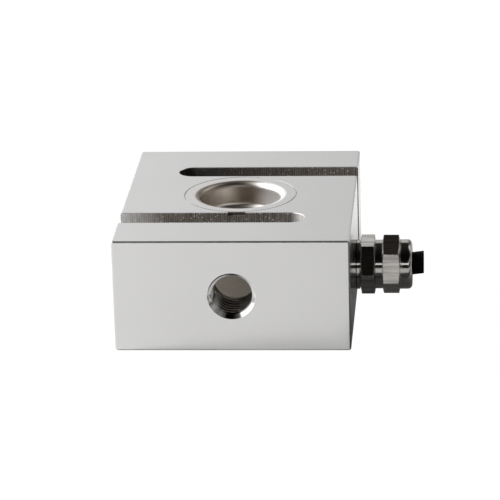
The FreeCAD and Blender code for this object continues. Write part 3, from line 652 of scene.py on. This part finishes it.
def cover_steel(colours):
    """Polished sheet with faint drawing rings, painted shade on the cup's left inner wall, painted light on
    its right inner wall, a painted highlight on the fillet round its floor, and grimy painted shade in its
    seam.
    """
    finish, tree, shader, place = new_finish("cover_steel")
    x, y, z = split(tree, place)
    radius = from_line(tree, x, y)
    ring = tree.nodes.new("ShaderNodeCombineXYZ")
    join(tree, product(tree, radius, RING_SCALE), ring.inputs[0])
    join(tree, product(tree, z, DRAW_SCALE), ring.inputs[2])
    rings = noise(tree, ring.outputs[0], 1.0)
    skin = use_group(tree, "metal_skin", Vector=place, Clouds=COVER_CLOUDS, Lines=COVER_LINES)
    inside = fade(tree, radius, *CUP_REACH)
    # painted shade on the cup's left inner wall
    painted_cup_shade = product(tree, inside, fade(tree, x, *CUP_SHADE_REACH))
    seam = seam_grime_and_shade(tree, place, radius)

    flange = blend(tree, skin["Cloud"], darker(colours.cover, COVER_SHADE), opaque(colours.cover))
    # the browner colour of the painted shade
    cup = blend(tree, skin["Cloud"], darker(colours.cup_shade_colour, CUP_SHADE), opaque(colours.cup_shade_colour))
    # painted highlight on the fillet round the cup's floor
    cup = blend(tree, painted_fillet_highlight(tree, place, radius), cup, FILLET_HIGHLIGHT_COLOUR)
    # painted light on the right inner wall, painted shade on the left
    steel = blend(tree, painted_cup_shade, blend(tree, inside, flange, CUP_LIGHT_COLOUR), cup)
    # grimy seam, widened and darkened at the front and at the notch as painted shade
    under = below(tree, z, CUP_TOP - CUP_EDGE)
    grime_and_shade = blend(tree, under, opaque(colours.slot), darker(colours.plate, SEAM_WALL_SHADE))
    at_notch = product(tree, below(tree, unsigned(tree, x), NOTCH_HALF), under)
    grime_and_shade = blend(tree, at_notch, grime_and_shade, darker(colours.slot, SEAM_NOTCH_SHADE))
    join(tree, blend(tree, seam, steel, grime_and_shade), shader["Base Color"])

    # partly matt where the painted light is
    metal = lerp(tree, minus(tree, inside, painted_cup_shade), 1.0, CUP_LIGHT_METAL)
    join(tree, lerp(tree, seam, metal, SEAM_METAL), shader["Metallic"])
    satin = spread(tree, rings, *GRAIN_RANGE, *COVER_ROUGHNESS)
    dull = product(tree, inside, CUP_DULLNESS)
    join(tree, calculate(tree, "ADD", satin, dull), shader["Roughness"])
    join(tree, bump(tree, rings, COVER_BUMP, FINE_DEPTH), shader["Normal"])
    return finish


# Gland
TURNED_CLOUDS = 300.0
TURNED_LINES = (4000.0, 150.0, 150.0)
TURNED_ROUGHNESS = (0.06, 0.13)
DRAWN_CLOUDS = 900.0
DRAWN_LINES = (100.0, 1300.0, 1300.0)
FLAT_ROUGHNESS = 0.1
GLAND_SHADES = (0.65, 1.08)
GLAND_BUMP = 0.1
# Dirt and painted shade in the groove by the washer
GAP_REACH = (0.1 * MM, 0.2 * MM)
GAP_SHADE = 0.08
# Painted shade under the gland near the block
UNDERSIDE = (GLAND_Z - 6.0 * MM, GLAND_Z - 3.0 * MM)
UNDERSIDE_SHARE = 0.7
ROUNDING = 0.35 * MM
WIDE_ROUNDING = 0.9 * MM
FILLET_HALF = 0.5 * MM
NUT_FILLET = NUT_BOX[1].x - DOME_LENGTH + FILLET_HALF


def gland_nickel(colours):
    """Dark bright plating with turning lines, lines of drawn bar on the hexagons' flats, dirt and painted
    shade in the groove by the washer, and painted shade under the gland near the block.
    """
    finish, tree, shader, place = new_finish("gland_nickel")
    turned = use_group(tree, "metal_skin", Vector=place, Clouds=TURNED_CLOUDS, Lines=TURNED_LINES)
    drawn = use_group(tree, "metal_skin", Vector=place, Clouds=DRAWN_CLOUDS, Lines=DRAWN_LINES)
    x, y, z = split(tree, place)
    radius = from_line(tree, minus(tree, y, GLAND_Y), minus(tree, z, GLAND_Z))
    flat = above(tree, radius, ROUND_RADIUS)
    past_collar = above(tree, x, COLLAR_END)
    grain = lerp(tree, flat, turned["Grain"], drawn["Grain"])

    tone = lerp(tree, flat, turned["Cloud"], rise(tree, drawn["Grain"], *SHARP_GRAIN_RANGE))
    dark_tone, pale_tone = GLAND_SHADES
    plate = blend(tree, tone, darker(colours.gland, dark_tone), darker(colours.gland, pale_tone))
    # dirt and painted shade in the groove, painted shade under the gland near the block
    gap = fade(tree, unsigned(tree, minus(tree, x, WASHER_END)), *GAP_REACH)
    under = product(tree, fade(tree, z, *UNDERSIDE), UNDERSIDE_SHARE, minus(tree, 1.0, past_collar))
    dirt_and_painted_shade = larger(tree, gap, under)
    join(tree, blend(tree, dirt_and_painted_shade, plate, darker(colours.gland, GAP_SHADE)), shader["Base Color"])

    shader["Metallic"].default_value = 1.0
    smooth = spread(tree, grain, *GRAIN_RANGE, *TURNED_ROUGHNESS)
    join(tree, lerp(tree, flat, smooth, FLAT_ROUGHNESS), shader["Roughness"])

    at_fillet = below(tree, unsigned(tree, minus(tree, x, NUT_FILLET)), FILLET_HALF)
    rounded = tree.nodes.new("ShaderNodeBevel")
    join(tree, lerp(tree, at_fillet, ROUNDING, WIDE_ROUNDING), rounded.inputs["Radius"])
    sharp = tree.nodes.new("ShaderNodeNewGeometry").outputs["Normal"]
    surface = bump(tree, grain, GLAND_BUMP, FINE_DEPTH)
    join(tree, blend(tree, past_collar, sharp, rounded.outputs[0]), surface.node.inputs["Normal"])
    join(tree, surface, shader["Normal"])
    return finish


# Plastics and small metal pieces
TONE_RANGE = (0.2, 0.8)
MOULDED_SHADE = 0.75
MOULDED_PLAY = 0.06
MOULDED_BUMP = 0.3
MOULDED_PORES = 2500.0
MOULDED_DEPTH = 0.03 * MM
METAL_CLOUDS = 500.0
METAL_LINES = (1500.0, 1500.0, 1500.0)
METAL_SHADE = 0.8
METAL_PLAY = 0.08
METAL_BUMP = 0.2
PLAIN_SHINE = 0.5
SHEATH_SHINE = 0.06


def moulded(name, colour, roughness, shine=PLAIN_SHINE):
    """Plastic, rubber or enamel with a fine skin."""
    finish, tree, shader, place = new_finish(name)
    shader["Specular IOR Level"].default_value = shine
    skin = use_group(tree, "moulded_skin", Vector=place, Pores=MOULDED_PORES)
    tone = skin["Tone"]
    join(tree, blend(tree, tone, darker(colour, MOULDED_SHADE), opaque(colour)), shader["Base Color"])
    matt = spread(tree, tone, *TONE_RANGE, roughness - MOULDED_PLAY, roughness + MOULDED_PLAY)
    join(tree, matt, shader["Roughness"])
    join(tree, bump(tree, skin["Height"], MOULDED_BUMP, MOULDED_DEPTH), shader["Normal"])
    return finish


def bare_metal(name, colour, roughness):
    """Drawn, etched or tinned metal."""
    finish, tree, shader, place = new_finish(name)
    skin = use_group(tree, "metal_skin", Vector=place, Clouds=METAL_CLOUDS, Lines=METAL_LINES)
    join(tree, blend(tree, skin["Cloud"], darker(colour, METAL_SHADE), opaque(colour)), shader["Base Color"])
    shader["Metallic"].default_value = 1.0
    satin = spread(tree, skin["Grain"], *GRAIN_RANGE, roughness - METAL_PLAY, roughness + METAL_PLAY)
    join(tree, satin, shader["Roughness"])
    join(tree, bump(tree, skin["Grain"], METAL_BUMP, FINE_DEPTH), shader["Normal"])
    return finish


# Roughness of the plain finishes that the record names
MOULDED_ROUGHNESS = {
    "sealing_rubber": 0.6, "claw_plastic": 0.5, "sheath_black": 0.6, "core_red": 0.35, "core_black": 0.35,
    "core_green": 0.35, "core_white": 0.35, "gauge_film": 0.25, "strip_board": 0.45, "resistor_black": 0.4,
}
METAL_ROUGHNESS = {
    "braid_tinned": 0.3, "copper": 0.25, "gauge_foil": 0.3, "solder": 0.2, "enamel_wire": 0.25,
}


def slot_colour(slot):
    """The record's colour of a material slot."""
    return next(m["base_color"] for m in RECORD["materials"] if m["slot"] == slot)


def nodes_of(slot):
    """The CAD nodes that the record gives a material slot."""
    return [NODES[p["node"]] for p in RECORD["subparts"] if p["material_slot"] == slot]


def finish_slots(*slots):
    """Gives the record's plain finishes to their CAD nodes."""
    for slot in slots:
        if slot in METAL_ROUGHNESS:
            finish = bare_metal(slot, slot_colour(slot), METAL_ROUGHNESS[slot])
        else:
            finish = moulded(slot, slot_colour(slot), MOULDED_ROUGHNESS[slot])
        give(finish, *nodes_of(slot))


# Operators

SMOOTH_ANGLE = math.radians(30.0)
MERGE_REACH = 0.001 * MM
PROFILE_SIDES = 4
SPARE_TURNS = 2
ALONG_Y = (0.5 * math.pi, 0.0, 0.0)


def start_piece():
    """Leaves edit mode and selects nothing."""
    if bpy.context.mode != "OBJECT":
        bpy.ops.object.mode_set(mode="OBJECT")
    bpy.ops.object.select_all(action="DESELECT")


def pick_vertices(piece, test):
    """Selects the vertices that pass a test, in edit mode."""
    bpy.ops.object.mode_set(mode="OBJECT")
    for edge in piece.data.edges:
        edge.select = False
    for face in piece.data.polygons:
        face.select = False
    for vertex in piece.data.vertices:
        vertex.select = test(vertex.co)
    bpy.ops.object.mode_set(mode="EDIT")


def trim(context, piece, operation):
    """Cuts a piece with the object just added, and takes that object away."""
    cutter = context.object
    bpy.ops.object.select_all(action="DESELECT")
    piece.select_set(True)
    context.view_layer.objects.active = piece
    step = piece.modifiers.new("trim", "BOOLEAN")
    step.operation = operation
    step.solver = "EXACT"
    step.object = cutter
    bpy.ops.object.modifier_apply(modifier=step.name)
    bpy.data.objects.remove(cutter)


def cut_cone(context, piece, steps, back_radius, front_radius, depth, y):
    """Cuts a cone on the front tapped hole's axis out of a piece."""
    bpy.ops.mesh.primitive_cone_add(
        vertices=steps, radius1=back_radius, radius2=front_radius, depth=depth,
        location=(0.0, y, BORE_Z), rotation=ALONG_Y)
    trim(context, piece, "DIFFERENCE")


def add_ridge_profile(context, sizes, wall):
    """One ridge's cross-section at the hole's wall, as an outline without a face."""
    bpy.ops.mesh.primitive_plane_add(size=1.0)
    ridge = context.object
    ridge.name = ridge.data.name = "front_thread_ridges"
    half_height = 0.5 * sizes.height
    bpy.ops.object.mode_set(mode="EDIT")
    bpy.ops.mesh.select_all(action="SELECT")
    bpy.ops.transform.resize(value=(sizes.height, sizes.foot, 1.0))
    bpy.ops.transform.translate(value=(wall - half_height, 0.0, 0.0))
    pick_vertices(ridge, lambda co: co.x < wall - half_height)
    bpy.ops.transform.resize(value=(1.0, sizes.crest / sizes.foot, 1.0))
    bpy.ops.mesh.select_all(action="SELECT")
    bpy.ops.mesh.delete(type="ONLY_FACE")
    bpy.ops.object.mode_set(mode="OBJECT")
    return ridge


def wind(ridge, sizes):
    """Winds a ridge's cross-section into a closed screw along the front tapped hole."""
    screw = ridge.modifiers.new("turns", "SCREW")
    screw.axis = "Y"
    screw.angle = 2.0 * math.pi
    screw.screw_offset = sizes.pitch
    screw.iterations = math.ceil(BORE_LENGTH / sizes.pitch) + SPARE_TURNS
    screw.steps = screw.render_steps = sizes.steps
    screw.use_merge_vertices = True
    screw.merge_threshold = MERGE_REACH
    bpy.ops.object.modifier_apply(modifier=screw.name)
    ridge.location = (BORE_X, BORE_Y - sizes.pitch, BORE_Z)
    bpy.ops.object.transform_apply(location=True, rotation=False, scale=False)
    bpy.ops.object.mode_set(mode="EDIT")
    bpy.ops.mesh.select_all(action="SELECT")
    bpy.ops.mesh.fill_holes(sides=PROFILE_SIDES)
    bpy.ops.mesh.select_all(action="SELECT")
    bpy.ops.mesh.normals_make_consistent(inside=False)
    bpy.ops.object.mode_set(mode="OBJECT")


class LOADCELL_OT_thread_ridges(bpy.types.Operator):
    """Cut a screw thread's ridges into both tapped ends"""

    bl_idname = "loadcell.thread_ridges"
    bl_label = "Thread ridges"

    def execute(self, context):
        sizes = context.scene.load_cell_thread
        wall = BORE_RADIUS + SKIN
        start_piece()
        ridge = add_ridge_profile(context, sizes, wall)
        wind(ridge, sizes)
        bpy.ops.object.select_all(action="DESELECT")
        bpy.ops.mesh.primitive_cylinder_add(
            vertices=sizes.steps, radius=wall + sizes.height, depth=BORE_LENGTH,
            location=(0.0, BORE_Y + 0.5 * BORE_LENGTH, BORE_Z), rotation=ALONG_Y)
        trim(context, ridge, "INTERSECT")
        # the countersink's cone goes on through the first ridges
        inset = 2.0 * sizes.height
        cut_cone(context, ridge, sizes.steps, wall - inset, wall + inset, 2.0 * inset, BORE_Y)
        # the ridges get lower towards the slot
        cut_cone(context, ridge, sizes.steps, wall + sizes.height, wall - sizes.height,
                 2.0 * sizes.run_out, BORE_Y + BORE_LENGTH)
        bpy.ops.object.shade_smooth_by_angle(angle=SMOOTH_ANGLE)
        bpy.ops.object.duplicate(linked=False)
        back = context.object
        back.name = back.data.name = "back_thread_ridges"
        back.rotation_euler.z = math.pi
        bpy.ops.object.transform_apply(location=False, rotation=True, scale=False)
        for piece in (ridge, back):
            give(NODES["s_beam"].active_material, piece)
            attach(piece, "root")
        return {"FINISHED"}


class LOADCELL_OT_block_finish(bpy.types.Operator):
    """Plate the block"""

    bl_idname = "loadcell.block_finish"
    bl_label = "Block"

    def execute(self, context):
        give(plated_steel(context.scene.load_cell_colours), *nodes_of("plated_steel"))
        return {"FINISHED"}


class LOADCELL_OT_cover_finish(bpy.types.Operator):
    """Polish the pressed cups"""

    bl_idname = "loadcell.cover_finish"
    bl_label = "Cup covers"

    def execute(self, context):
        give(cover_steel(context.scene.load_cell_colours), *nodes_of("cover_steel"))
        return {"FINISHED"}


class LOADCELL_OT_gland_finish(bpy.types.Operator):
    """Plate the gland and colour its seals"""

    bl_idname = "loadcell.gland_finish"
    bl_label = "Cable gland"

    def execute(self, context):
        give(gland_nickel(context.scene.load_cell_colours), *nodes_of("gland_nickel"))
        finish_slots("sealing_rubber", "claw_plastic")
        return {"FINISHED"}


class LOADCELL_OT_cable_finish(bpy.types.Operator):
    """Colour the cable's sheath, screen and cores"""

    bl_idname = "loadcell.cable_finish"
    bl_label = "Cable"

    def execute(self, context):
        black = context.scene.load_cell_colours.sheath
        sheath = moulded("sheath_black", black, MOULDED_ROUGHNESS["sheath_black"], SHEATH_SHINE)
        give(sheath, *nodes_of("sheath_black"))
        finish_slots("braid_tinned", "core_red", "core_black", "core_green", "core_white", "copper")
        return {"FINISHED"}


class LOADCELL_OT_gauge_finish(bpy.types.Operator):
    """Colour the gauges, the terminal strip and their wires"""

    bl_idname = "loadcell.gauge_finish"
    bl_label = "Gauges and terminals"

    def execute(self, context):
        finish_slots("gauge_film", "gauge_foil", "strip_board", "solder", "resistor_black", "enamel_wire")
        return {"FINISHED"}


# Camera of the photograph, in turns from a level look along +Y
CAMERA_PLACE = (0.06290, -0.76979, 0.28297)
CAMERA_YAW = -0.0787814
CAMERA_PITCH = 0.3349012
CAMERA_ROLL = 0.0281309
CAMERA_LENS = 215.8
SENSOR = 36.0

# Lights, which face the object
KEY_PLACE = (-1.0, -0.12, 0.55)
KEY_SIZE = (0.9, 0.7)
STRIP_PLACE = (0.15, -1.5, 0.52)
STRIP_SIZE = (1.4, 0.16)

# Surroundings, as parts of a unit direction or as angles in degrees
WALL_BEHIND = (-0.05, 0.3)
WALL_FALL = (-0.55, 0.5)
WALL_END_SHARE = 0.06
WALL_TOP = (0.62, 0.74)
WALL_BAND = (0.43, 0.52)
WALL_BAND_GAIN = 1.25
KEY_TOWARDS = (-0.85, 0.04, 0.5)
KEY_ANGLES = (33.0, 50.0)
FILL_AZIMUTHS = (-75.0, 5.0)
FILL_ELEVATIONS = (10.0, 28.0)
SIDE_AZIMUTHS = (15.0, 50.0)
SIDE_ELEVATIONS = (18.0, 64.0)
SIDE_GAIN = 1.2
HORIZON = (0.08, 0.18)
HORIZON_GAIN = 0.7
AZIMUTH_BORDER = 12.0
ELEVATION_BORDER = 4.0
ROOM_DEPTH = (-0.4, 0.5)
ROOM_GAINS = (0.5, 3.0)
ROOM_TINT = (1.0, 0.9, 0.8)

# Floor, with a shade beside the block
FLOOR_SIZE = 12.0
FLOOR_GAP = 0.02 * MM
FLOOR_CLOUDS = 3.0
FLOOR_CLOUD_SHADE = 0.98
FLOOR_ROUGHNESS = 0.9
FLOOR_GLOW = 1.05
FLOOR_GLOW_SHARE = 0.97
WHITE = (1.0, 1.0, 1.0, 1.0)
SHADE_SIDE = (BLOCK_SIDE - 0.6 * MM, BLOCK_SIDE + 0.3 * MM)
SHADE_FRONT = (-60.0 * MM, -56.0 * MM)
SHADE_BACK = (-36.0 * MM, -28.0 * MM)
SHADE_SHARE = 0.97
SHADE_DARKNESS = 0.05
SHADE_GLOW = 0.015
BEYOND_REACH = (40.0 * MM, 70.0 * MM)
BEYOND_GLOW = 0.17


def camera_turn():
    """The camera's axes as a rotation."""
    forward = Vector((math.sin(CAMERA_YAW) * math.cos(CAMERA_PITCH),
                      math.cos(CAMERA_YAW) * math.cos(CAMERA_PITCH), -math.sin(CAMERA_PITCH)))
    level = Vector((math.cos(CAMERA_YAW), -math.sin(CAMERA_YAW), 0.0))
    down = forward.cross(level)
    right = level * math.cos(CAMERA_ROLL) + down * math.sin(CAMERA_ROLL)
    low = down * math.cos(CAMERA_ROLL) - level * math.sin(CAMERA_ROLL)
    return Matrix((right, -low, -forward)).transposed()


def add_area(name, place, size, power):
    """A soft rectangular light that faces the object and that the camera doesn't see."""
    target = 0.5 * (CAD_BOX[0] + CAD_BOX[1])
    turn = (target - Vector(place)).to_track_quat("-Z", "Y").to_euler()
    bpy.ops.object.light_add(type="AREA", location=place, rotation=turn)
    light = bpy.context.object
    light.name = light.data.name = name
    light.data.shape = "RECTANGLE"
    light.data.size, light.data.size_y = size
    light.data.energy = power
    light.visible_camera = False
    return light


def soft_lamp(tree, direction, towards, angles, level):
    """A round patch of light on the surroundings that fades between two angles."""
    inner, outer = (math.cos(math.radians(angle)) for angle in angles)
    node = tree.nodes.new("ShaderNodeVectorMath")
    node.operation = "DOT_PRODUCT"
    join(tree, direction, node.inputs[0])
    node.inputs[1].default_value = Vector(towards).normalized()
    return spread(tree, node.outputs["Value"], outer, inner, 0.0, level)


def soft_range(tree, value, limits, border):
    """1 between two angles in degrees, with soft borders."""
    low, high = limits
    up = rise(tree, value, math.radians(low - border), math.radians(low + border))
    down = fade(tree, value, math.radians(high - border), math.radians(high + border))
    return product(tree, up, down)


def soft_panel(tree, direction, azimuths, elevations, level):
    """A panel of light between two azimuths and two elevations, in degrees."""
    x, y, z = split(tree, direction)
    across = soft_range(tree, calculate(tree, "ARCTAN2", y, x), azimuths, AZIMUTH_BORDER)
    upright = soft_range(tree, calculate(tree, "ARCSINE", z), elevations, ELEVATION_BORDER)
    return product(tree, across, upright, level)


def paint_room(studio):
    """Surroundings: a wall behind that fades to the right, a key lamp on the left and weaker lamps."""
    world = bpy.data.worlds.new("studio_room")
    world.use_nodes = True
    bpy.context.scene.world = world
    tree = world.node_tree
    direction = tree.nodes.new("ShaderNodeTexCoord").outputs["Generated"]
    x, y, z = split(tree, direction)
    behind = rise(tree, y, *WALL_BEHIND)
    across = spread(tree, x, *WALL_FALL, studio.backdrop, WALL_END_SHARE * studio.backdrop)
    across.node.interpolation_type = "SMOOTHSTEP"
    upright = product(tree, fade(tree, z, *WALL_TOP), spread(tree, z, *WALL_BAND, 1.0, WALL_BAND_GAIN))
    wall = product(tree, across, product(tree, behind, upright))
    horizon = product(tree, behind, spread(tree, z, *HORIZON, HORIZON_GAIN * studio.side_glow, 0.0))
    lamps = (
        soft_lamp(tree, direction, KEY_TOWARDS, KEY_ANGLES, studio.key_glow),
        soft_panel(tree, direction, FILL_AZIMUTHS, FILL_ELEVATIONS, studio.fill_glow),
        soft_panel(tree, direction, SIDE_AZIMUTHS, SIDE_ELEVATIONS, SIDE_GAIN * studio.side_glow),
        horizon,
    )
    light = wall
    for lamp in lamps:
        light = larger(tree, light, lamp)
    dim = spread(tree, y, *ROOM_DEPTH, *(gain * studio.room for gain in ROOM_GAINS))
    warm = tree.nodes.new("ShaderNodeCombineColor")
    for socket, share in zip(warm.inputs, ROOM_TINT):
        join(tree, calculate(tree, "ADD", light, product(tree, dim, share)), socket)
    background = tree.nodes["Background"].inputs
    join(tree, warm.outputs[0], background["Color"])
    matt = tree.nodes.new("ShaderNodeLightPath").outputs["Is Diffuse Ray"]
    join(tree, spread(tree, matt, 0.0, 1.0, 1.0, studio.ambient), background["Strength"])


def floor_finish(studio):
    """Pale floor whose shadows the camera sees only faintly."""
    finish, tree, shader, place = new_finish("pale_floor")
    x, y, _ = split(tree, place)
    clouds = noise(tree, place, FLOOR_CLOUDS)
    pale = blend(tree, clouds, darker(studio.floor, FLOOR_CLOUD_SHADE), opaque(studio.floor))
    beside = product(tree, rise(tree, x, *SHADE_SIDE), rise(tree, y, *SHADE_FRONT))
    shade = product(tree, beside, spread(tree, y, *SHADE_BACK, SHADE_SHARE, 0.0))
    join(tree, blend(tree, shade, pale, darker(studio.floor, SHADE_DARKNESS)), shader["Base Color"])
    shader["Emission Color"].default_value = opaque(studio.floor)
    beyond = spread(tree, y, *BEYOND_REACH, 0.0, BEYOND_GLOW)
    glow = calculate(tree, "ADD", product(tree, beside, SHADE_GLOW), beyond)
    join(tree, glow, shader["Emission Strength"])
    shader["Roughness"].default_value = FLOOR_ROUGHNESS
    white = tree.nodes.new("ShaderNodeEmission")
    white.inputs["Color"].default_value = WHITE
    white.inputs["Strength"].default_value = FLOOR_GLOW
    seen = tree.nodes.new("ShaderNodeLightPath").outputs["Is Camera Ray"]
    mixer = tree.nodes.new("ShaderNodeMixShader")
    join(tree, product(tree, seen, FLOOR_GLOW_SHARE), mixer.inputs[0])
    tree.links.new(tree.nodes["Principled BSDF"].outputs[0], mixer.inputs[1])
    tree.links.new(white.outputs[0], mixer.inputs[2])
    tree.links.new(mixer.outputs[0], tree.nodes["Material Output"].inputs["Surface"])
    return finish


class LOADCELL_OT_stage(bpy.types.Operator):
    """Set up the floor, the lights and the camera"""

    bl_idname = "loadcell.stage"
    bl_label = "Stage"

    def execute(self, context):
        studio = context.scene.load_cell_studio
        start_piece()
        floor_height = CAD_BOX[0].z - FLOOR_GAP
        bpy.ops.mesh.primitive_plane_add(size=FLOOR_SIZE, location=(0.0, 0.0, floor_height))
        floor = context.object
        floor.name = floor.data.name = "floor"
        give(floor_finish(studio), floor)
        key = add_area("key_light", KEY_PLACE, KEY_SIZE, studio.key_power)
        key.visible_glossy = False
        strip = add_area("strip_light", STRIP_PLACE, STRIP_SIZE, studio.strip_power)
        strip.visible_diffuse = False
        paint_room(studio)
        bpy.ops.object.camera_add(location=CAMERA_PLACE, rotation=camera_turn().to_euler())
        camera = context.object
        camera.name = camera.data.name = "photo_camera"
        camera.data.sensor_width = SENSOR
        camera.data.lens = CAMERA_LENS
        context.scene.camera = camera
        context.scene.view_settings.view_transform = "Standard"
        return {"FINISHED"}


PIECE_OPERATORS = (
    LOADCELL_OT_block_finish,
    LOADCELL_OT_cover_finish,
    LOADCELL_OT_gland_finish,
    LOADCELL_OT_cable_finish,
    LOADCELL_OT_gauge_finish,
    LOADCELL_OT_thread_ridges,
    LOADCELL_OT_stage,
)


class LOADCELL_PT_sidebar(bpy.types.Panel):
    """Lists the load cell's operators"""

    bl_idname = "LOADCELL_PT_sidebar"
    bl_label = "Load cell"
    bl_space_type = "VIEW_3D"
    bl_region_type = "UI"
    bl_category = "Load cell"

    def draw(self, context):
        for operator in PIECE_OPERATORS:
            self.layout.operator(operator.bl_idname)


SETTINGS = {
    "load_cell_thread": LoadCellThread,
    "load_cell_colours": LoadCellColours,
    "load_cell_studio": LoadCellStudio,
}
CLASSES = (*SETTINGS.values(), *PIECE_OPERATORS, LOADCELL_PT_sidebar)


def register():
    """Registers the settings, operators and panel."""
    for kind in CLASSES:
        bpy.utils.register_class(kind)
    for name, kind in SETTINGS.items():
        setattr(bpy.types.Scene, name, bpy.props.PointerProperty(type=kind))


def unregister():
    """Takes the classes away again."""
    for name in SETTINGS:
        delattr(bpy.types.Scene, name)
    for kind in reversed(CLASSES):
        bpy.utils.unregister_class(kind)


def main():
    register()
    make_groups()
    for operator in PIECE_OPERATORS:
        group, name = operator.bl_idname.split(".")
        getattr(getattr(bpy.ops, group), name)()


if __name__ == "__main__":
    main()
